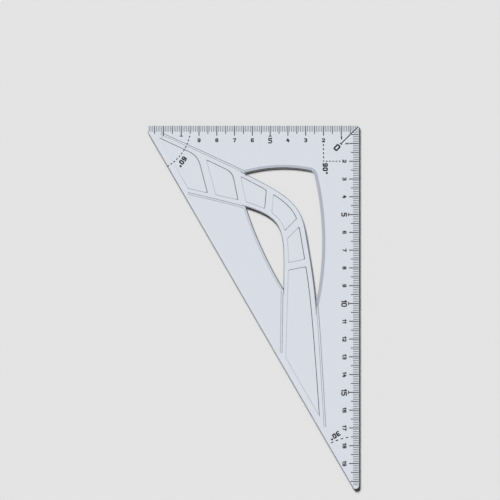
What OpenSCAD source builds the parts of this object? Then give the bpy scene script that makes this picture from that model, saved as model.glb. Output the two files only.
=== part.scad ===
// 60 degree set square: a moulded clear plate with a cranked finger grip between two finger
// openings, and two centimetre scales with angle marks printed on its upper face.
// The origin is the right-angle corner, where both scales read zero, on the underside.
// The short edge runs along -X, the long edge along -Y, and +Z points up from the table.

/* [Plate] */
// Long edge, measured to the sharp 30 degree point
long_edge = 209.7; // [190:0.1:230]
// Thickness of the plate and of the grip
plate_t = 2; // [1.6:0.1:3.2]
// Length cut off the sharp 60 degree point, along the short edge
point_trim = 2.2; // [1:0.1:4]
// Radius of the 30 degree tip
tip_r = 2; // [1:0.1:3]
// Radius that breaks the right-angle corner and the trimmed point
corner_r = 0.5; // [0.3:0.1:1]

/* [Finger openings] */
// Shortest distance from the short edge to the openings
short_margin = 23.85; // [20:0.05:28]
// Shortest distance from the long edge to the openings
long_margin = 20.75; // [18:0.05:23]
// Shortest distance from the slanted edge to the openings
slant_margin = 22.15; // [19:0.05:24]
// Radius of the bow that faces the short edge
short_bow_r = 78.5; // [70:0.5:90]
// Radius of the bow that faces the long edge
long_bow_r = 165.5; // [150:0.5:200]
// Radius of the bow that faces the slanted edge
slant_bow_r = 215; // [180:1:250]
// Where the first bow comes closest, measured along the short edge from the corner
short_crown = 42.7; // [38:0.1:47]
// Where the second bow comes closest, measured along the long edge from the corner
long_crown = 65.7; // [58:0.1:70]
// Where the third bow comes closest, measured along the slanted edge from the sharp point
slant_crown = 113.9; // [105:0.1:122]
// Radius of the round corner between the first two bows
opening_corner_r = 3.2; // [1.5:0.1:6]
// Width of the bevel around the openings, seen from above
bevel_w = 1.85; // [0.8:0.05:2.2]
// Depth of that bevel
bevel_depth = 0.6; // [0.3:0.1:1.4]
// Width of the steep foot below it, seen from above
foot_w = 0.45; // [0.2:0.05:0.7]
// Height of that foot
foot_drop = 1; // [0.4:0.1:1.2]

/* [Grip] */
// Outer elbow of the grip: distance from the long edge
outer_elbow_x = 29.6; // [27:0.1:33]
// Outer elbow of the grip: distance from the short edge
outer_elbow_y = 62.3; // [58:0.1:66]
// Inner elbow of the grip: distance from the long edge
inner_elbow_x = 42.4; // [39:0.1:45]
// Inner elbow of the grip: distance from the short edge
inner_elbow_y = 79.6; // [75:0.1:84]
// Outer end of the arm beside the short edge: distance from the long edge
outer_arm_x = 112; // [106:0.1:116]
// Outer end of the arm beside the short edge: distance from the short edge
outer_arm_y = 4.9; // [4.5:0.1:8]
// Inner side of that arm at the slanted edge: distance from the short edge
inner_arm_y = 36.4; // [33:0.1:41]
// Outer side of the leg at the slanted edge: distance from the long edge
outer_leg_x = 19.6; // [18:0.1:22]
// Inner side of the leg at the slanted edge: distance from the long edge
inner_leg_x = 43.2; // [40:0.1:46]
// Headings of the outer side at its arm end, its elbow and its leg end
outer_headings = [-24.5, -80.5, -86.7]; // [-95:0.1:-10]
// Headings of the inner side at its arm end, its elbow and its leg end
inner_headings = [-13.4, -90.5, -90.9]; // [-95:0.1:-10]
// How far the outer side keeps its heading after and before each of those, per unit of chord
outer_pull = [0.826, 0.226, 0.29, 0.737]; // [0.1:0.001:1]
// The same for the inner side
inner_pull = [0.763, 0.444, 0.325, 0.325]; // [0.1:0.001:1]
// Width of the rails of the grip at the ends of its arm and leg
rail_end = 1.75; // [1.4:0.05:3.2]
// Width of the outer rail at the elbow
outer_rail_elbow = 2.9; // [2:0.1:3.6]
// Width of the inner rail at the elbow
inner_rail_elbow = 2.5; // [2:0.1:3.6]
// Width of the rungs between the pockets
rung_w = 3.8; // [2.4:0.1:5]
// Where the rungs meet the outer side, along it from the arm end
outer_rungs = [26.9, 48.5, 70, 96.1, 119.7]; // [20:0.1:130]
// Where the rungs meet the inner side, along it from the arm end
inner_rungs = [17.2, 34.7, 49.8, 65.1, 82.3]; // [10:0.1:90]
// Solid rim left between a pocket and the slanted edge
slant_rim = 3.7; // [3:0.1:5]
// Depth of the pockets
pocket_depth = 0.8; // [0.4:0.1:1.2]
// Lean of the pocket walls, seen from above
pocket_draft = 0.4; // [0.1:0.05:0.6]
// Corner of the first pocket, at its rung and the outer rail
first_pocket_r = 5.5; // [1:0.1:7]
// Corner of the second pocket, at its rung and the outer rail
second_pocket_r = 4; // [1:0.1:6]
// All other corners of the pockets
pocket_r = 0.9; // [0.5:0.1:1.6]
// Width of the groove that sets the grip off from the plate on each side
groove_w = 1.4; // [1:0.1:2]
// Depth of the groove
groove_depth = 0.35; // [0.2:0.05:1]
// Lean of the groove's walls, seen from above
groove_draft = 0.4; // [0.1:0.05:0.6]
// Land between the groove and the grip's side
groove_land = 0.05; // [0.05:0.05:0.3]
// Distance from the slanted edge at which the grooves stop on the arm
arm_stop = 2.9; // [2:0.1:5]
// The same on the inner side of the leg
inner_leg_stop = 3.6; // [2:0.1:5]
// The same on the outer side of the leg
outer_leg_stop = 2.8; // [2:0.1:5]

/* [Edges] */
// Small break of the upper edges of the grip in its openings and of the slanted edge
edge_break = 0.4; // [0.1:0.05:0.6]

/* [Scales] */
// Distance between neighbouring graduations
graduation = 1; // [0.8:0.1:2]
// Length of a millimetre mark
mm_mark = 3.4; // [2:0.1:4]
// Length of a half-centimetre mark
half_mark = 4.6; // [3:0.1:5]
// Length of a centimetre mark
cm_mark = 5.6; // [4:0.1:6.5]
// Length of a five-centimetre mark
five_mark = 5.9; // [5:0.1:7]
// Length of the foot across a five-centimetre mark
foot_l = 1.8; // [1:0.1:3]
// Line width of a millimetre mark
mm_line = 0.3; // [0.1:0.01:0.4]
// Line width of a half-centimetre mark
half_line = 0.46; // [0.1:0.01:0.5]
// Line width of a centimetre mark
cm_line = 0.52; // [0.1:0.01:0.6]
// Distance of the marks from the edge that they read on
mark_gap = 0.1; // [0.05:0.05:0.3]
// Distance of the shortened marks from the diagonal at the right-angle corner
mitre_gap = 0.7; // [0.3:0.05:1]
// Clear plate that a mark leaves before the slanted edge
slant_gap = 0.85; // [0.5:0.05:2]
// Thickness of the printed ink
ink_t = 0.05; // [0.04:0.01:0.1]

/* [Angle marks] */
// Reach of the zero pointer along each edge
pointer_reach = 10.2; // [6:0.1:14]
// Crossbar at the end of the zero pointer
pointer_bar = 1.6; // [0.8:0.1:3]
// Line width of the pointer and the dashes
pointer_line = 0.6; // [0.15:0.01:0.7]
// Share of the distance between dashes that a dash takes
dash_share = 0.5; // [0.3:0.05:0.8]
// Distance between the right-angle mark's dashes that run up to the short scale
square_pitch_up = 2.27; // [1.5:0.01:3]
// The same for those that run across to the long scale
square_pitch_across = 1.81; // [1.5:0.01:3]
// Side of the square that the right-angle mark draws
square_side = 20; // [15:0.5:25]
// Nearest that its dashes come to the edges
square_clear = 10.9; // [9:0.1:14]
// Mark on the short scale where the 60 degree arc starts
arc_60_mark = 95; // [85:5:100]
// Distance of its first dash from the short edge, along the arc
arc_60_clear = 6.25; // [5.5:0.05:8]
// Distance between its dashes
arc_60_pitch = 2.09; // [2:0.01:3]
// Mark on the long scale where the 30 degree arc starts
arc_30_mark = 175; // [165:5:180]
// Distance of its first dash from the long edge, along the arc
arc_30_clear = 6.8; // [5.5:0.05:8]
// Distance between its dashes
arc_30_pitch = 2.94; // [2.4:0.01:4]

/* [Hidden] */

// A set square's angles are fixed
point_angle = 60;
tip_angle = 90 - point_angle;

clear_plastic = [0.83, 0.87, 0.92, 0.6];
black_ink = [0.08, 0.08, 0.09];

short_edge = long_edge / tan(point_angle);
sharp_point = [-short_edge, 0];
sharp_tip = [0, -long_edge];
along_slant = [cos(point_angle), -sin(point_angle)];
into_plate = [sin(point_angle), cos(point_angle)];

bow_steps = 36;         // straight steps along each bow of the openings
corner_steps = 8;       // straight steps round a corner
edge_steps = 30;        // straight steps along each half of a grip edge
pocket_steps = 12;      // straight steps along a pocket's rail side
over = 0.5;             // how far a cutter reaches past the face that it cuts
foot_bite = 0.1;        // how far the bevel's cutter reaches inside the opening

// ---- points and curves ----

function heading(angle) = [cos(angle), sin(angle)];
function bezier(p, t) = let (u = 1 - t)
    u * u * u * p[0] + 3 * u * u * t * p[1] + 3 * u * t * t * p[2] + t * t * t * p[3];
function arc(centre, r, from, to, steps, last) =
    [for (i = [0 : steps - (last ? 0 : 1)])
        centre + r * heading(from + (to - from) * i / steps)];
function reversed(list) = [for (i = [len(list) - 1 : -1 : 0]) list[i]];
function angle_of(v) = atan2(v.y, v.x);
function at_height(outline, z) = [for (p = outline) [p.x, p.y, z]];

// Where two circles cross; side is 1 or -1 and picks one of the two points
function crossing(c1, r1, c2, r2, side) =
    let (d = norm(c2 - c1),
         a = (d * d + r1 * r1 - r2 * r2) / (2 * d),
         h = sqrt(r1 * r1 - a * a),
         u = (c2 - c1) / d)
    c1 + a * u + side * h * [-u.y, u.x];

// Arc that rounds the corner at p between the directions back to a and on to b
function rounded(a, p, b, r) =
    let (u = (a - p) / norm(a - p),
         v = (b - p) / norm(b - p),
         half = acos(u * v) / 2,
         centre = p + (u + v) / norm(u + v) * r / sin(half),
         start = angle_of(p + u * r / tan(half) - centre),
         turn = angle_of(p + v * r / tan(half) - centre) - start,
         sweep = turn > 180 ? turn - 360 : turn < -180 ? turn + 360 : turn)
    arc(centre, r, start, start + sweep, corner_steps, true);

// Distance of a point from the slanted edge, inwards
function from_slant(p) = (p - sharp_point) * into_plate;

// ---- outline of the plate ----

trimmed = [-short_edge + point_trim, 0];
trimmed_foot = [trimmed.x, -point_trim * tan(point_angle)];

plate_outline = concat(
    rounded(trimmed, [0, 0], sharp_tip, corner_r),
    rounded([0, 0], sharp_tip, trimmed_foot, tip_r),
    rounded(sharp_tip, trimmed_foot, trimmed, corner_r),
    rounded(trimmed_foot, trimmed, [0, 0], corner_r));

// ---- finger openings: one leaf between three bows ----

short_bow_c = [-short_crown, -short_margin - short_bow_r];
long_bow_c = [-long_margin - long_bow_r, -long_crown];
slant_bow_c = sharp_point + along_slant * slant_crown + into_plate * (slant_margin + slant_bow_r);
corner_c = crossing(short_bow_c, short_bow_r - opening_corner_r,
                    long_bow_c, long_bow_r - opening_corner_r, -1);

// The leaf's outline, grown by a bevel's width
function leaf(grow) =
    let (point = crossing(short_bow_c, short_bow_r + grow, slant_bow_c, slant_bow_r + grow, 1),
         foot = crossing(long_bow_c, long_bow_r + grow, slant_bow_c, slant_bow_r + grow, -1),
         turn_1 = angle_of(corner_c - short_bow_c),
         turn_2 = angle_of(corner_c - long_bow_c),
         slant_from = angle_of(foot - slant_bow_c),
         slant_to = angle_of(point - slant_bow_c))
    concat(
        arc(short_bow_c, short_bow_r + grow, angle_of(point - short_bow_c), turn_1, bow_steps, false),
        arc(corner_c, opening_corner_r + grow, turn_1, turn_2, corner_steps, false),
        arc(long_bow_c, long_bow_r + grow, turn_2, angle_of(foot - long_bow_c), bow_steps, false),
        arc(slant_bow_c, slant_bow_r + grow, slant_from, slant_to, bow_steps, false));

// ---- edges of the grip ----

// Points of the slanted edge at a distance from the short edge, and from the long edge
function slant_at_y(y) = sharp_point + along_slant * y / sin(point_angle);
function slant_at_x(x) = sharp_tip - along_slant * x / cos(point_angle);

outer_knots = [
    [-outer_arm_x, -outer_arm_y], [-outer_elbow_x, -outer_elbow_y], slant_at_x(outer_leg_x)];
inner_knots = [
    slant_at_y(inner_arm_y), [-inner_elbow_x, -inner_elbow_y], slant_at_x(inner_leg_x)];

// Two curves through three knots, each held to the headings at its ends
function span(a, b, heading_a, heading_b, pull_a, pull_b, last) =
    let (chord = norm(b - a),
         p = [a, a + heading(heading_a) * pull_a * chord, b - heading(heading_b) * pull_b * chord, b])
    [for (i = [0 : edge_steps - (last ? 0 : 1)]) bezier(p, i / edge_steps)];
function through(k, turn, pull) = concat(
    span(k[0], k[1], turn[0], turn[1], pull[0], pull[1], false),
    span(k[1], k[2], turn[1], turn[2], pull[2], pull[3], true));

// An edge as rows of distance along it, x and y
function measured(path) =
    [for (i = 0, s = 0; i < len(path);
        s = s + (i + 1 < len(path) ? norm(path[i + 1] - path[i]) : 0), i = i + 1)
        [s, path[i].x, path[i].y]];
outer_edge = measured(through(outer_knots, outer_headings, outer_pull));
inner_edge = measured(through(inner_knots, inner_headings, inner_pull));

slant_edge = measured([sharp_point, sharp_tip]);

function length_of(edge) = edge[len(edge) - 1][0];
function on(edge, s) =
    [lookup(s, [for (r = edge) [r[0], r[1]]]), lookup(s, [for (r = edge) [r[0], r[2]]])];

// Point at a distance d into the grip from the edge; side is 1 where the grip lies to the left
side_of_outer = -1;
side_of_inner = 1;
function inside(edge, side, s, d) =
    let (reach = 1,
         v = on(edge, s + reach) - on(edge, s - reach))
    on(edge, s) + d * side * [-v.y, v.x] / norm(v);

// Distance along an edge at which a line d inside it lies a given gap from the slanted edge,
// on its way in from the arm or out through the leg
function starts_at(edge, side, d, gap) =
    lookup(gap, [for (r = edge) if (r[0] < length_of(edge) / 4)
        [from_slant(inside(edge, side, r[0], d)), r[0]]]);
function stops_at(edge, side, d, gap) =
    lookup(gap, [for (r = edge) if (r[0] > length_of(edge) / 2)
        [from_slant(inside(edge, side, r[0], d)), r[0]]]);

outer_from = starts_at(outer_edge, side_of_outer, 0, arm_stop);
outer_to = stops_at(outer_edge, side_of_outer, 0, outer_leg_stop);
inner_from = starts_at(inner_edge, side_of_inner, 0, arm_stop);
inner_to = stops_at(inner_edge, side_of_inner, 0, inner_leg_stop);

// The grip bar ends a little nearer the slanted edge than its grooves do
bar_end = 1;
function side_line(edge, from, to, steps) =
    [for (i = [0 : steps]) on(edge, from + (to - from) * i / steps)];
grip_outline = concat(
    side_line(outer_edge, max(0, outer_from - bar_end), outer_to + bar_end, 2 * edge_steps),
    reversed(side_line(inner_edge, inner_from - bar_end, inner_to + bar_end, 2 * edge_steps)));

// ---- pockets of the grip ----

// Rails swell from their ends to the elbow
function rail(edge, side, s) =
    let (elbow = side == side_of_outer ? outer_rail_elbow : inner_rail_elbow)
    rail_end + (elbow - rail_end) * pow(sin(180 * s / length_of(edge)), 2);
function rail_line(edge, side, s, grow) = inside(edge, side, s, rail(edge, side, s) - grow);

// One long side of a pocket, from its corner at s0 to its corner at s1, with both corners
// rounded towards the pocket's other long side
function pocket_side(edge, side, s0, s1, r0, r1, far0, far1, grow) =
    let (a = rail_line(edge, side, s0, grow),
         b = rail_line(edge, side, s1, grow),
         a1 = rail_line(edge, side, s0 + r0, grow),
         b1 = rail_line(edge, side, s1 - r1, grow),
         a0 = a + (far0 - a) / norm(far0 - a) * r0,
         b0 = b + (far1 - b) / norm(far1 - b) * r1)
    concat(
        [for (i = [0 : corner_steps - 1]) blend(a0, a, a1, i / corner_steps)],
        [for (i = [0 : pocket_steps])
            rail_line(edge, side, s0 + r0 + (s1 - r1 - s0 - r0) * i / pocket_steps, grow)],
        [for (i = [1 : corner_steps]) blend(b1, b, b0, i / corner_steps)]);
function blend(a, b, c, t) = (1 - t) * (1 - t) * a + 2 * (1 - t) * t * b + t * t * c;

// Signed distance of a point past the middle line of rung k, on the way from arm to leg
function past_rung(k, p) =
    let (a = rail_line(outer_edge, side_of_outer, outer_rungs[k], 0),
         b = rail_line(inner_edge, side_of_inner, inner_rungs[k], 0),
         u = (b - a) / norm(b - a))
    (p - a) * [-u.y, u.x];

// Distance along an edge at which a pocket's wall, d past rung k, meets its wall along the rail
rung_reach = 12;
function meets_rung(edge, side, k, d, grow) =
    let (s = side == side_of_outer ? outer_rungs[k] : inner_rungs[k])
    lookup(d, [for (r = edge) if (abs(r[0] - s) < rung_reach)
        [past_rung(k, rail_line(edge, side, r[0], grow)), r[0]]]);

function pocket(k, grow) =
    let (n = len(outer_rungs),
         wall = rung_w / 2 - grow,
         rim = slant_rim - grow,
         o0 = k > 0 ? meets_rung(outer_edge, side_of_outer, k - 1, wall, grow)
            : starts_at(outer_edge, side_of_outer, rail_end - grow, rim),
         i0 = k > 0 ? meets_rung(inner_edge, side_of_inner, k - 1, wall, grow)
            : starts_at(inner_edge, side_of_inner, rail_end - grow, rim),
         o1 = k < n ? meets_rung(outer_edge, side_of_outer, k, -wall, grow)
            : stops_at(outer_edge, side_of_outer, rail_end - grow, rim),
         i1 = k < n ? meets_rung(inner_edge, side_of_inner, k, -wall, grow)
            : stops_at(inner_edge, side_of_inner, rail_end - grow, rim),
         big = k == 0 ? first_pocket_r : k == 1 ? second_pocket_r : pocket_r,
         oa = rail_line(outer_edge, side_of_outer, o0, grow),
         ob = rail_line(outer_edge, side_of_outer, o1, grow),
         ia = rail_line(inner_edge, side_of_inner, i0, grow),
         ib = rail_line(inner_edge, side_of_inner, i1, grow))
    concat(
        pocket_side(outer_edge, side_of_outer, o0, o1, pocket_r, big, ia, ib, grow),
        reversed(pocket_side(inner_edge, side_of_inner, i0, i1, pocket_r, pocket_r, oa, ob, grow)));

// ---- solids ----

// Skin over rings of equal, even length; each end is closed by strips across its ring
module skin(rings) {
    n = len(rings[0]);
    last = len(rings) - 1;
    points = [for (ring = rings) each ring];
    walls = [for (j = [0 : last - 1], i = [0 : n - 1])
        let (a = j * n + i, b = j * n + (i + 1) % n)
        each [[a, b, b + n], [a, b + n, a + n]]];
    caps = [for (i = [0 : n / 2 - 2])
        let (a = i, b = i + 1, c = n - 2 - i, d = n - 1 - i, top = last * n)
        each [[a, c, b], [a, d, c], [top + a, top + b, top + c], [top + a, top + c, top + d]]];
    polyhedron(points, concat(walls, caps));
}

// Bevel around the openings, with a steep foot below it
module leaf_bevel() skin([
    at_height(leaf(-foot_bite), plate_t - bevel_depth - foot_drop * (1 + foot_bite / foot_w)),
    at_height(leaf(foot_w), plate_t - bevel_depth),
    at_height(leaf(bevel_w + (bevel_w - foot_w) * over / bevel_depth), plate_t + over)]);

// Groove with leaning walls along one side of the grip
module groove(edge, side, from, to) {
    steps = 2 * edge_steps + 1;
    high = plate_t + over;
    deep = plate_t - groove_depth;
    flare = groove_draft * over / groove_depth;
    near = -groove_land;
    far = near - groove_w;
    skin([for (i = [0 : steps])
        let (s = from + (to - from) * i / steps,
             ring = [for (c = [[far - flare, high], [near + flare, high],
                               [near - groove_draft, deep], [far + groove_draft, deep]])
                 let (p = inside(edge, side, s, c[0])) [p.x, p.y, c[1]]])
        side == side_of_inner ? ring : reversed(ring)]);
}

// Breaks the upper edge along a path; side is 1 where the solid lies to the left
module edge_break_cut(path, side, from, to, steps) {
    reach = edge_break + over;
    skin([for (i = [0 : steps])
        let (s = from + (to - from) * i / steps,
             ring = [for (c = [[-over, over], [reach, over], [-over, -reach], [-2 * over, 0]])
                 let (p = inside(path, side, s, c[0])) [p.x, p.y, plate_t + c[1]]])
        side > 0 ? ring : reversed(ring)]);
}

// The grip's own bar; its broken edges show only where the openings lay them free
module grip_bar() difference() {
    linear_extrude(plate_t) polygon(grip_outline);
    edge_break_cut(outer_edge, side_of_outer, outer_from, outer_to, 2 * edge_steps + 1);
    edge_break_cut(inner_edge, side_of_inner, inner_from, inner_to, 2 * edge_steps + 1);
}

module pocket_cut(k) skin([
    at_height(pocket(k, -pocket_draft), plate_t - pocket_depth),
    at_height(pocket(k, pocket_draft * over / pocket_depth), plate_t + over)]);

module plate() color(clear_plastic) difference() {
    union() {
        difference() {
            linear_extrude(plate_t) polygon(plate_outline);
            translate([0, 0, -over]) linear_extrude(plate_t + 2 * over) polygon(leaf(0));
            leaf_bevel();
            groove(outer_edge, side_of_outer, outer_from, outer_to);
            groove(inner_edge, side_of_inner, inner_from, inner_to);
        }
        grip_bar();
    }
    for (k = [0 : len(outer_rungs)]) pocket_cut(k);
    edge_break_cut(slant_edge, 1, 0, length_of(slant_edge), 1);
}

// ---- printed marks ----

// A printed line of a given width from a to b, on the plate's upper face
module ink_line(a, b, w) {
    v = b - a;
    translate([a.x, a.y, plate_t]) rotate(angle_of(v)) translate([0, -w / 2, 0])
        cube([norm(v), w, ink_t]);
}

// Longest mark at a distance from the corner: shortened by the diagonal at the corner,
// and by the slanted edge at the far end
function short_room(u) = min(u - mitre_gap, (short_edge - u) * tan(point_angle) - slant_gap);
function long_room(v) = min(v - mitre_gap, (long_edge - v) * tan(tip_angle) - slant_gap);

short_count = floor((short_edge - point_trim - corner_r / 2) / graduation);
long_count = floor((long_edge - (mm_mark + slant_gap) / tan(tip_angle)) / graduation);

module short_mark(i, l, w)
    ink_line([-i * graduation, -mark_gap], [-i * graduation, -min(l, short_room(i * graduation))], w);
module long_mark(i, l, w)
    ink_line([-mark_gap, -i * graduation], [-min(l, long_room(i * graduation)), -i * graduation], w);

// Foot across the end of a five-centimetre mark
module short_foot(i) ink_line([-i * graduation - foot_l / 2, -five_mark],
    [-i * graduation + foot_l / 2, -five_mark], cm_line);
module long_foot(i) ink_line([-five_mark, -i * graduation - foot_l / 2],
    [-five_mark, -i * graduation + foot_l / 2], cm_line);

module short_scale_mm_marks() color(black_ink)
    for (i = [1 : short_count]) if (i % 5 != 0) short_mark(i, mm_mark, mm_line);
module short_scale_half_cm_marks() color(black_ink)
    for (i = [5 : 10 : short_count]) short_mark(i, half_mark, half_line);
module short_scale_cm_marks() color(black_ink)
    for (i = [10 : 10 : short_count]) {
        short_mark(i, i % 50 == 0 ? five_mark : cm_mark, cm_line);
        if (i % 50 == 0) short_foot(i);
    }

module long_scale_mm_marks() color(black_ink)
    for (i = [1 : long_count]) if (i % 5 != 0) long_mark(i, mm_mark, mm_line);
module long_scale_half_cm_marks() color(black_ink)
    for (i = [5 : 10 : long_count]) long_mark(i, half_mark, half_line);
module long_scale_cm_marks() color(black_ink)
    for (i = [10 : 10 : long_count]) {
        long_mark(i, i % 50 == 0 ? five_mark : cm_mark, cm_line);
        if (i % 50 == 0 && long_room(i * graduation) > five_mark) long_foot(i);
    }

module zero_pointer() color(black_ink) {
    start = [-corner_r, -corner_r];
    end = [-pointer_reach, -pointer_reach];
    bar = pointer_bar / 2 * heading(135);
    ink_line(start, end, pointer_line);
    ink_line(end - bar, end + bar, pointer_line);
}

// A corner at the end of two broken lines that run parallel to the edges
module right_angle_dashes() color(black_ink) {
    corner = [-square_side, -square_side];
    for (run = [[[0, 1], square_pitch_up], [[1, 0], square_pitch_across]]) {
        d = run[0];
        pitch = run[1];
        half = dash_share * pitch / 2;
        ink_line(corner, corner + d * half, pointer_line);
        for (i = [1 : floor((square_side - square_clear) / pitch)])
            ink_line(corner + d * (i * pitch - half), corner + d * (i * pitch + half), pointer_line);
    }
}

// Dashes along an arc about a sharp point of the plate, from its scale's edge to the slanted
// edge; turn is the sign of that direction
module dashed_arc(centre, r, edge_angle, turn, swing, clear, pitch) {
    l = dash_share * pitch;
    count = floor((r * swing * PI / 180 - clear - l / 2) / pitch);
    for (i = [0 : count]) {
        a = edge_angle + turn * (clear + i * pitch) / r * 180 / PI;
        middle = centre + r * heading(a);
        half = l / 2 * heading(a + 90);
        ink_line(middle - half, middle + half, pointer_line);
    }
}

// Each arc passes the end of the half-centimetre mark that it starts at
module angle_60_dashes() color(black_ink)
    dashed_arc(sharp_point, norm([short_edge - arc_60_mark * graduation, half_mark]),
        0, -1, point_angle, arc_60_clear, arc_60_pitch);
module angle_30_dashes() color(black_ink)
    dashed_arc(sharp_tip, norm([long_edge - arc_30_mark * graduation, half_mark]),
        90, 1, tip_angle, arc_30_clear, arc_30_pitch);

plate();
short_scale_mm_marks();
short_scale_half_cm_marks();
short_scale_cm_marks();
long_scale_mm_marks();
long_scale_half_cm_marks();
long_scale_cm_marks();
zero_pointer();
right_angle_dashes();
angle_60_dashes();
angle_30_dashes();
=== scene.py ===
"""Looks of the 60 degree set square: clear moulding, printed scales, figures and angle values.

The zero corner is the origin. The short edge runs from it towards -x and the long edge towards -y,
and the printed face looks up.
"""

import math

import bpy
from mathutils import Matrix, Vector


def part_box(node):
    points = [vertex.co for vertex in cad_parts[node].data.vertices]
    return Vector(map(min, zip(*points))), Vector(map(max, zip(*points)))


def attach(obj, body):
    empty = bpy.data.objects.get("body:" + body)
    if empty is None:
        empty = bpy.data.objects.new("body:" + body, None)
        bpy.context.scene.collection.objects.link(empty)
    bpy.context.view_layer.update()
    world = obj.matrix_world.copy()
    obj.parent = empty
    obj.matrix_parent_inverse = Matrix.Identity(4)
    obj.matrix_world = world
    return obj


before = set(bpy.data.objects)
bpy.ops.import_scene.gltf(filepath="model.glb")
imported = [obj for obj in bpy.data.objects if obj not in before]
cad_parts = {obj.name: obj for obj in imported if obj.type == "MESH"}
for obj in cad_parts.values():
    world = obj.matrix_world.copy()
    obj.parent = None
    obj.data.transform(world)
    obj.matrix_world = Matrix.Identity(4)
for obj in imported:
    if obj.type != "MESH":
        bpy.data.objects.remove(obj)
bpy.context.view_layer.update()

MM = 0.001
plate_low, plate_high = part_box("plate")
TOP = plate_high.z  # height of the printed face

# ---- sizes of the printed figures, in millimetres ----

INK_T = 0.05  # thickness of the ink film
FIGURE_STROKE = 0.6  # line width of the scale figures
FIGURE_H = 2.3  # their height
FIVE_STROKE = 0.72  # line width of the figures 5, 10 and 15
FIVE_H = 3.2  # their height
VALUE_STROKE = 0.8  # line width of the angle values
VALUE_H = 3.0  # their height
ZERO_STROKE = 0.92  # line width of the 0 at the corner pointer
ZERO_H = 3.9  # its height
FIRST_H = 1.9  # height of the figure 1, which stands beside the pointer
FIGURE_ASPECT = 0.79  # width of a scale figure, as a share of its height
LARGE_ASPECT = 0.72  # the same for the larger figures
CORNER_R = 0.4  # rounding of the strokes' corners
FIGURE_GAP = 0.25  # clear plate between two figures of one number
ONE_WIDTH = 0.35  # width of a 1, as a share of another figure's width
ONE_INSET = 0.24  # clear part of its grid to the left of a 1, as the same share
RING_WIDTH = 0.26  # width that a degree ring takes, as a share of the figures' height
RING_R = 0.078  # reach of its centre line from its middle, as the same share

# ---- places of the figures, in millimetres from the zero corner ----

FIGURE_LINE = 8.2  # distance of the figures' middles from their edge
FIRST_LINE = 6.85  # the same for the figure 1
FIVE_LINE = 8.4  # and for the figures 5, 10 and 15
CENTIMETRE = 10
SHORT_FIGURES = 9
LONG_FIGURES = 19
ZERO_PLACE = (-12.4, -12.3)
ZERO_TURN = -45
ANGLE_VALUES = (  # each with its middle and its turn in degrees
    ("90", (-19.0, -24.2), -90),
    ("60", (-99.6, -20.3), -127),
    ("30", (-13.6, -174.4), -148),
)

# ---- colours, as linear values, and finishes ----

CLEAR_TINT = (0.89, 0.934, 1.0)
CLEAR_UNEVEN = 0.985  # tint of its darker patches, as a share of the tint
PAINTED_WALL_SHADE_TINTS = (  # painted shade: how much of each colour a wall keeps, for each strength of its painted shade
    (0.0, (1.0, 1.0, 1.0)),
    (0.6, (0.4, 0.41, 0.47)),
    (1.0, (0.0005, 0.0005, 0.0007)),
)
PASSED_LIGHT = (0.985, 0.992, 1.0)  # how much of each colour a flat or leaning face passes
STOPPED_LIGHT = (0.02, 0.02, 0.02)  # how much a steep face passes
STEEP_RISE = 0.43  # a face is steep where its normal rises less than this
CLEAR_IOR = 1.49
CLEAR_ROUGHNESS = (0.01, 0.05)  # lowest and highest
INK = (0.012, 0.012, 0.015)
INK_UNEVEN = 2.2  # colour of its thinner patches, as a share of the ink's
INK_ROUGHNESS = (0.38, 0.62)  # lowest and highest
INK_SPECULAR = 0.15
FLOOR = (0.789, 0.787, 0.787)
FLOOR_UNEVEN = 0.99  # colour of its darker patches, as a share of the floor's
FLOOR_ROUGHNESS = 0.9
FLOOR_SPECULAR = 0.1

# ---- floor, light and view, with lengths in metres ----

FLOOR_REACH = 4.0  # half its width
FLOOR_DROP = 0.06 * MM  # keeps it just clear of the plate's underside
LAMP_STRENGTH = 4.6
LAMP_SPREAD = 20  # its width in degrees, which softens the shadows as a window does
LAMP_WAY = (0.52, -1.09, -1.0)  # the way that its light travels
ROOM_LIGHT = 0.05  # strength of the room where it lights the object
CAMERA_RISE = 2.4  # height above the printed face
VIEW_WIDTH = 0.2812
VIEW_SHIFT = (-0.0019, 0.0322)  # from the plate's middle to the view's
SENSOR_MM = 36


# ---- small helpers for node trees ----


def put(tree, kind, **settings):
    """A node of a kind, with its properties set."""
    node = tree.nodes.new(kind)
    for key, value in settings.items():
        setattr(node, key, value)
    return node


def new_material(name):
    """A material with nothing but an output in its tree; also the tree and that output."""
    material = bpy.data.materials.new(name)
    material.use_nodes = True
    tree = material.node_tree
    tree.nodes.clear()
    return material, tree, put(tree, "ShaderNodeOutputMaterial")


def math_node(tree, operation, a, b=None, clamp=False):
    """The output of a Math node on sockets or numbers."""
    node = put(tree, "ShaderNodeMath", operation=operation, use_clamp=clamp)
    for slot, value in enumerate((a, b)):
        if value is None:
            continue
        if isinstance(value, (int, float)):
            node.inputs[slot].default_value = value
        else:
            tree.links.new(value, node.inputs[slot])
    return node.outputs[0]


def spread(tree, source, low, high):
    """A value from 0 to 1, spread from low to high."""
    node = put(tree, "ShaderNodeMapRange")
    tree.links.new(source, node.inputs["Value"])
    node.inputs["To Min"].default_value = low
    node.inputs["To Max"].default_value = high
    return node.outputs[0]


def colour_mix(tree, factor, a, b, blend="MIX"):
    """The colour output of a Mix node on sockets or plain colours."""
    node = put(tree, "ShaderNodeMix", data_type="RGBA", blend_type=blend)
    sockets = {s.name: s for s in node.inputs if s.enabled}
    for name, value in (("Factor", factor), ("A", a), ("B", b)):
        if isinstance(value, (int, float)):
            sockets[name].default_value = value
        elif isinstance(value, tuple):
            sockets[name].default_value = (*value, 1)
        else:
            tree.links.new(value, sockets[name])
    return next(s for s in node.outputs if s.type == "RGBA" and s.enabled)


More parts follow.
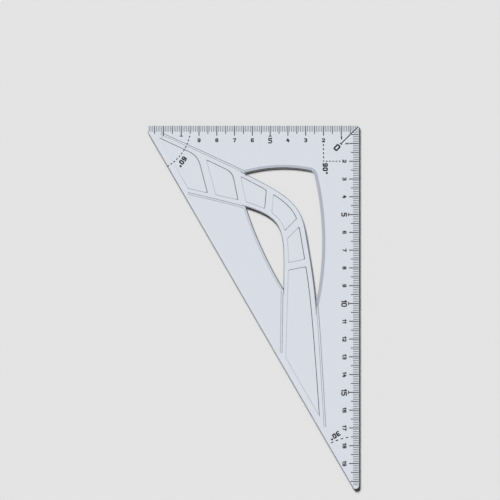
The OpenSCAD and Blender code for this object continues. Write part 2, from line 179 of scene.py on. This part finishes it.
def colour_ramp(tree, source, stops, interpolation="LINEAR"):
    """The colour output of a Color Ramp whose stops are pairs of a position and a colour."""
    node = put(tree, "ShaderNodeValToRGB")
    node.color_ramp.interpolation = interpolation
    elements = node.color_ramp.elements
    for _ in range(len(stops) - len(elements)):
        elements.new(1.0)
    for element, (position, colour) in zip(elements, stops):
        element.position = position
        element.color = (*colour, 1)
    tree.links.new(source, node.inputs[0])
    return node.outputs[0]


def scaled(colour, share):
    """A colour with each of its values times a share."""
    return tuple(c * share for c in colour)


def use_group(tree, group, **values):
    """A node of a shader group, with its inputs set."""
    node = put(tree, "ShaderNodeGroup", node_tree=group)
    for name, value in values.items():
        node.inputs[name].default_value = value
    return node


def end_material(tree, output, surface, passing, colour=None):
    """Ends a material in its surface, and in a transparent one for the passing kinds of ray."""
    through = put(tree, "ShaderNodeBsdfTransparent")
    if colour is not None:
        tree.links.new(colour, through.inputs["Color"])
    mix = put(tree, "ShaderNodeMixShader")
    tree.links.new(passing, mix.inputs[0])
    tree.links.new(surface, mix.inputs[1])
    tree.links.new(through.outputs[0], mix.inputs[2])
    tree.links.new(mix.outputs[0], output.inputs["Surface"])


# ---- shader groups ----


# Painted shade on leaning faces, in place of refraction and the shadows seen through them.
# Kinds of face by how far they lean from flat (0 is flat, 1 is upright), with how dark each
# is painted where it faces left, right, up and down the plate
PAINTED_WALL_SHADES = (
    (0.0, (0.0, 0.0, 0.0, 0.0)),  # flat faces
    (0.2, (0.64, 0.31, 0.31, 0.57)),  # bevel around the openings
    (0.5, (0.83, 0.65, 0.65, 0.83)),  # grooves beside the grip
    (0.68, (0.9, 0.8, 0.8, 0.9)),  # broken edges
    (0.8, (1.0, 0.5, 0.72, 0.97)),  # walls of the pockets
    (0.9, (0.6, 1.0, 1.0, 1.0)),  # steep foot of the bevel
    (0.95, (0.35, 0.35, 0.35, 0.35)),  # upright edges
)


def wall_group():
    """Painted shade of a face, set by how far it leans and which way it faces: the output runs from 0,
    clear, to 1, darkest.
    """
    tree = bpy.data.node_groups.new("painted_wall_shade", "ShaderNodeTree")
    tree.interface.new_socket(name="Density", in_out="OUTPUT", socket_type="NodeSocketFloat")
    out = put(tree, "NodeGroupOutput")
    geometry = put(tree, "ShaderNodeNewGeometry")
    split = put(tree, "ShaderNodeSeparateXYZ")
    tree.links.new(geometry.outputs["True Normal"], split.inputs[0])
    x, y, _z = split.outputs
    squares = [math_node(tree, "MULTIPLY", part, part) for part in (x, y)]
    lean_squared = math_node(tree, "ADD", *squares)
    lean = math_node(tree, "SQRT", lean_squared)
    whole = math_node(tree, "MAXIMUM", lean_squared, 1e-4)  # never 0, because it divides
    total = None
    # painted shade for each of the four ways a face can turn, weighted by how far it turns that way
    for side, (part, sign) in enumerate(((x, -1.0), (x, 1.0), (y, 1.0), (y, -1.0))):
        toward = math_node(tree, "MULTIPLY", part, sign, clamp=True)
        weight = math_node(tree, "DIVIDE", math_node(tree, "MULTIPLY", toward, toward), whole)
        stops = [(start, (side_shades[side],) * 3) for start, side_shades in PAINTED_WALL_SHADES]
        painted_part = math_node(tree, "MULTIPLY", weight, colour_ramp(tree, lean, stops, "CONSTANT"))
        total = painted_part if total is None else math_node(tree, "ADD", total, painted_part)
    tree.links.new(total, out.inputs["Density"])
    return tree


def patch_group():
    """Slow and fine variation over a surface, each from 0 to 1, for finish and ink cover."""
    tree = bpy.data.node_groups.new("uneven_patches", "ShaderNodeTree")
    for name in ("Slow", "Fine"):
        for way in ("INPUT", "OUTPUT"):
            tree.interface.new_socket(name=name, in_out=way, socket_type="NodeSocketFloat")
    inside = put(tree, "NodeGroupInput")
    out = put(tree, "NodeGroupOutput")
    where = put(tree, "ShaderNodeTexCoord")
    for name in ("Slow", "Fine"):
        noise = put(tree, "ShaderNodeTexNoise")
        noise.inputs["Detail"].default_value = 2
        tree.links.new(where.outputs["Object"], noise.inputs["Vector"])
        tree.links.new(inside.outputs[name], noise.inputs["Scale"])
        tree.links.new(noise.outputs[0], out.inputs[name])
    return tree


# painted shade on the plate's leaning and steep walls
PAINTED_WALL_SHADE = wall_group()
PATCHES = patch_group()


# ---- materials ----


def clear_plastic():
    """Clear moulded plastic: leaning walls carry painted shade, darker or lighter by which way they
    face, and steep ones stop the lamp's light.
    """
    material, tree, output = new_material("clear_plastic")
    wall = use_group(tree, PAINTED_WALL_SHADE)
    patches = use_group(tree, PATCHES, Slow=18.0, Fine=700.0)
    body = colour_mix(tree, patches.outputs["Slow"], scaled(CLEAR_TINT, CLEAR_UNEVEN), CLEAR_TINT)
    # painted shade on leaning walls, multiplied into the plastic's colour
    wall_shade_tint = colour_ramp(tree, wall.outputs["Density"], PAINTED_WALL_SHADE_TINTS)
    skin = put(tree, "ShaderNodeBsdfPrincipled")
    tree.links.new(colour_mix(tree, 1.0, body, wall_shade_tint, "MULTIPLY"), skin.inputs["Base Color"])
    tree.links.new(spread(tree, patches.outputs["Fine"], *CLEAR_ROUGHNESS), skin.inputs["Roughness"])
    skin.inputs["Transmission Weight"].default_value = 1.0
    skin.inputs["IOR"].default_value = CLEAR_IOR

    geometry = put(tree, "ShaderNodeNewGeometry")
    split = put(tree, "ShaderNodeSeparateXYZ")
    tree.links.new(geometry.outputs["True Normal"], split.inputs[0])
    steep = math_node(tree, "LESS_THAN", math_node(tree, "ABSOLUTE", split.outputs[2]), STEEP_RISE)
    front = math_node(tree, "SUBTRACT", 1.0, geometry.outputs["Backfacing"])
    stopped = math_node(tree, "MULTIPLY", steep, front)
    path = put(tree, "ShaderNodeLightPath")
    passing = math_node(tree, "MAXIMUM", path.outputs["Is Shadow Ray"], path.outputs["Is Diffuse Ray"])
    end_material(tree, output, skin.outputs[0], passing,
                 colour_mix(tree, stopped, PASSED_LIGHT, STOPPED_LIGHT))
    return material


def printed_ink():
    """Black screen ink: matt, with slightly uneven cover, and too thin to shade the floor."""
    material, tree, output = new_material("black_ink")
    patches = use_group(tree, PATCHES, Slow=120.0, Fine=2500.0)
    film = put(tree, "ShaderNodeBsdfPrincipled")
    cover = colour_mix(tree, patches.outputs["Slow"], INK, scaled(INK, INK_UNEVEN))
    tree.links.new(cover, film.inputs["Base Color"])
    tree.links.new(spread(tree, patches.outputs["Fine"], *INK_ROUGHNESS), film.inputs["Roughness"])
    film.inputs["Specular IOR Level"].default_value = INK_SPECULAR
    path = put(tree, "ShaderNodeLightPath")
    end_material(tree, output, film.outputs[0], path.outputs["Is Shadow Ray"])
    return material


def pale_floor():
    """Plain pale table top."""
    material, tree, output = new_material("pale_floor")
    patches = use_group(tree, PATCHES, Slow=3.0, Fine=60.0)
    skin = put(tree, "ShaderNodeBsdfPrincipled")
    cover = colour_mix(tree, patches.outputs["Slow"], FLOOR, scaled(FLOOR, FLOOR_UNEVEN))
    tree.links.new(cover, skin.inputs["Base Color"])
    skin.inputs["Roughness"].default_value = FLOOR_ROUGHNESS
    skin.inputs["Specular IOR Level"].default_value = FLOOR_SPECULAR
    tree.links.new(skin.outputs[0], output.inputs["Surface"])
    return material


CLEAR = clear_plastic()
BLACK = printed_ink()

# The plate is clear, and every other solid is a group of printed marks
for name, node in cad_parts.items():
    finish = CLEAR if name == "plate" else BLACK
    if not node.data.materials:
        node.data.materials.append(finish)
    for slot in node.material_slots:
        slot.material = finish


# ---- printed figures ----

# Centre lines of the figures on a grid 4 wide and 6 high, with the corners to be rounded
GLYPHS = {
    "0": [[(0, 3), (0, 0), (4, 0), (4, 6), (0, 6), (0, 3)]],
    "1": [[(1.1, 4.8), (2.4, 6)], [(2.4, 6), (2.4, 0)]],
    "2": [[(0, 4.9), (0, 6), (4, 6), (4, 3.6), (0, 0)], [(0, 0), (4, 0)]],
    "3": [[(0, 6), (4, 6), (4, 3.2), (1.4, 3.2)], [(1.4, 3.2), (4, 3.2), (4, 0), (0, 0)]],
    "4": [[(1.7, 6), (0, 2)], [(0, 2), (4, 2)], [(2.9, 4.2), (2.9, 0)]],
    "5": [[(4, 6), (0, 6), (0, 3.4), (4, 3.4), (4, 0), (0, 0)]],
    "6": [[(3.8, 6), (0, 6), (0, 0), (4, 0), (4, 3.4), (0, 3.4)]],
    "7": [[(0, 6), (4, 6)], [(4, 6), (1.6, 0)]],
    "8": [[(2, 3.2), (0, 3.2), (0, 6), (4, 6), (4, 3.2), (2, 3.2)],
          [(2, 3.2), (0, 3.2), (0, 0), (4, 0), (4, 3.2), (2, 3.2)]],
    "9": [[(0.2, 0), (4, 0), (4, 6), (0, 6), (0, 2.6), (4, 2.6)]],
}
GRID_W, GRID_H = 4, 6
DEGREE = "o"
RING = [(-1, 0), (-1, -1), (1, -1), (1, 1), (-1, 1), (-1, 0)]  # rounded as the figures are


def stroke_tree():
    """Turns centre lines into raised ink strokes with rounded corners."""
    tree = bpy.data.node_groups.new("ink_strokes", "GeometryNodeTree")
    face = tree.interface
    face.new_socket(name="Geometry", in_out="INPUT", socket_type="NodeSocketGeometry")
    for name in ("Corner", "Width", "Thickness"):
        face.new_socket(name=name, in_out="INPUT", socket_type="NodeSocketFloat")
    face.new_socket(name="Ink", in_out="INPUT", socket_type="NodeSocketMaterial")
    face.new_socket(name="Geometry", in_out="OUTPUT", socket_type="NodeSocketGeometry")
    inside = put(tree, "NodeGroupInput")
    out = put(tree, "NodeGroupOutput")
    fillet = put(tree, "GeometryNodeFilletCurve", mode="POLY")
    fillet.inputs["Count"].default_value = 4
    fillet.inputs["Limit Radius"].default_value = True
    level = put(tree, "GeometryNodeSetCurveNormal", mode="Z_UP")
    profile = put(tree, "GeometryNodeCurvePrimitiveQuadrilateral")
    sweep = put(tree, "GeometryNodeCurveToMesh")
    sweep.inputs["Fill Caps"].default_value = True
    real = put(tree, "GeometryNodeRealizeInstances")
    coat = put(tree, "GeometryNodeSetMaterial")
    link = tree.links.new
    link(inside.outputs["Geometry"], fillet.inputs["Curve"])
    link(inside.outputs["Corner"], fillet.inputs["Radius"])
    link(fillet.outputs[0], level.inputs["Curve"])
    link(inside.outputs["Width"], profile.inputs["Width"])
    link(inside.outputs["Thickness"], profile.inputs["Height"])
    link(level.outputs[0], sweep.inputs["Curve"])
    link(profile.outputs[0], sweep.inputs["Profile Curve"])
    link(sweep.outputs[0], real.inputs[0])
    link(real.outputs[0], coat.inputs["Geometry"])
    link(inside.outputs["Ink"], coat.inputs["Material"])
    link(coat.outputs[0], out.inputs[0])
    return tree


STROKES = stroke_tree()


def with_ends(line, reach):
    """An open centre line with both its ends moved outwards."""
    ends = []
    for end, inner in ((line[0], line[1]), (line[-1], line[-2])):
        away = (Vector(end) - Vector(inner)).normalized()
        ends.append(tuple(Vector(end) + reach * away))
    return [ends[0], *line[1:-1], ends[1]]


def figure_lines(text, height, stroke, aspect):
    """Centre lines of a row of figures, in millimetres, centred on the origin."""
    inner_h = height - stroke
    inner_w = height * aspect - stroke
    special = {DEGREE: height * RING_WIDTH, "1": inner_w * ONE_WIDTH}
    widths = [special.get(c, inner_w) for c in text]
    gap = stroke + FIGURE_GAP
    x = -(sum(widths) + gap * (len(text) - 1)) / 2
    lines = []
    for c, width in zip(text, widths):
        if c == DEGREE:
            r = height * RING_R
            lines.append([(x + width / 2 + px * r, inner_h / 2 - r + py * r) for px, py in RING])
        else:
            left = x - (inner_w * ONE_INSET if c == "1" else 0)
            for line in GLYPHS[c]:
                lines.append([(left + px / GRID_W * inner_w, (py / GRID_H - 0.5) * inner_h)
                              for px, py in line])
        x += width + gap
    return lines


def print_figures(name, stroke, rows, aspect=LARGE_ASPECT):
    """One piece of printed figures. Each row is its text, height, middle and turn in degrees."""
    curve = bpy.data.curves.new(name, "CURVE")
    curve.dimensions = "3D"
    for text, height, middle, turn in rows:
        place = Matrix.Translation((*middle, 0)) @ Matrix.Rotation(math.radians(turn), 4, "Z")
        for line in figure_lines(text, height, stroke, aspect):
            closed = line[0] == line[-1]
            points = line[:-1] if closed else with_ends(line, stroke / 2)
            spline = curve.splines.new("POLY")
            spline.points.add(len(points) - 1)
            spline.use_cyclic_u = closed
            for point, (x, y) in zip(spline.points, points):
                point.co = (*(place @ Vector((x, y, 0))), 1)
    drawn = bpy.data.objects.new(name + "_lines", curve)
    bpy.context.scene.collection.objects.link(drawn)
    growth = drawn.modifiers.new("ink", "NODES")
    growth.node_group = STROKES
    inputs = {"Corner": CORNER_R, "Width": stroke, "Thickness": INK_T, "Ink": BLACK}
    for item in STROKES.interface.items_tree:
        if item.name in inputs:
            growth[item.identifier] = inputs[item.name]
    bpy.context.view_layer.update()
    mesh = bpy.data.meshes.new_from_object(drawn.evaluated_get(bpy.context.evaluated_depsgraph_get()))
    bpy.data.objects.remove(drawn)
    mesh.name = name
    mesh.transform(Matrix.Translation((0, 0, TOP + INK_T * MM / 2)) @ Matrix.Scale(MM, 4))
    piece = bpy.data.objects.new(name, mesh)
    bpy.context.scene.collection.objects.link(piece)
    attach(piece, "root")


def scale_rows(figures, height, line, place, turn):
    """Rows of one scale's figures; the 1 is smaller and stands nearer its edge."""
    return [(str(n), FIRST_H if n == 1 else height,
             place(n * CENTIMETRE, FIRST_LINE if n == 1 else line), turn) for n in figures]


def on_short_edge(run, line):
    """A place some way along the short edge and some way in from it."""
    return (-run, -line)


def on_long_edge(run, line):
    """The same on the long edge."""
    return (-line, -run)


for scale, count, place, turn in (("short_scale", SHORT_FIGURES, on_short_edge, 0),
                                  ("long_scale", LONG_FIGURES, on_long_edge, -90)):
    fives = [n for n in range(1, count + 1) if n % 5 == 0]
    others = [n for n in range(1, count + 1) if n % 5]
    print_figures(scale + "_figures", FIGURE_STROKE,
                  scale_rows(others, FIGURE_H, FIGURE_LINE, place, turn), FIGURE_ASPECT)
    print_figures(scale + "_five_figures", FIVE_STROKE,
                  scale_rows(fives, FIVE_H, FIVE_LINE, place, turn))
print_figures("corner_zero", ZERO_STROKE, [("0", ZERO_H, ZERO_PLACE, ZERO_TURN)])
for value, middle, turn in ANGLE_VALUES:
    print_figures("angle_" + value + "_value", VALUE_STROKE,
                  [(value + DEGREE, VALUE_H, middle, turn)])


# ---- floor, lamp, room and camera ----


def floor_plane():
    """Level square of table top under the plate."""
    mesh = bpy.data.meshes.new("floor")
    corners = [(x * FLOOR_REACH, y * FLOOR_REACH, -FLOOR_DROP)
               for x, y in ((-1, -1), (1, -1), (1, 1), (-1, 1))]
    mesh.from_pydata(corners, [], [(0, 1, 2, 3)])
    mesh.materials.append(pale_floor())
    floor = bpy.data.objects.new("floor", mesh)
    bpy.context.scene.collection.objects.link(floor)


def window_light():
    """One low sun-like lamp from the upper left, as soft as light from a window."""
    lamp = bpy.data.lights.new("window", "SUN")
    lamp.energy = LAMP_STRENGTH
    lamp.angle = math.radians(LAMP_SPREAD)
    sun = bpy.data.objects.new("window", lamp)
    sun.rotation_mode = "QUATERNION"
    sun.rotation_quaternion = Vector(LAMP_WAY).to_track_quat("-Z", "Y")
    bpy.context.scene.collection.objects.link(sun)


def pale_room():
    """Surroundings that are white where they are seen or mirrored, and dim as a light."""
    world = bpy.data.worlds.new("room")
    world.use_nodes = True
    tree = world.node_tree
    tree.nodes.clear()
    output = put(tree, "ShaderNodeOutputWorld")
    back = put(tree, "ShaderNodeBackground")
    back.inputs["Color"].default_value = (1, 1, 1, 1)
    path = put(tree, "ShaderNodeLightPath")
    mirrored = math_node(tree, "MAXIMUM", path.outputs["Is Glossy Ray"],
                         path.outputs["Is Transmission Ray"])
    seen = math_node(tree, "MAXIMUM", path.outputs["Is Camera Ray"], mirrored)
    tree.links.new(spread(tree, seen, ROOM_LIGHT, 1.0), back.inputs["Strength"])
    tree.links.new(back.outputs[0], output.inputs["Surface"])
    bpy.context.scene.world = world


def overhead_camera():
    """Long lens straight above, a little towards the short edge."""
    data = bpy.data.cameras.new("overhead")
    data.sensor_width = SENSOR_MM
    data.lens = SENSOR_MM * CAMERA_RISE / VIEW_WIDTH
    data.clip_end = 20
    camera = bpy.data.objects.new("overhead", data)
    middle = (plate_low + plate_high) / 2
    camera.location = (middle.x + VIEW_SHIFT[0], middle.y + VIEW_SHIFT[1], TOP + CAMERA_RISE)
    bpy.context.scene.collection.objects.link(camera)
    bpy.context.scene.camera = camera


floor_plane()
window_light()
pale_room()
overhead_camera()
bpy.context.scene.view_settings.view_transform = "Standard"
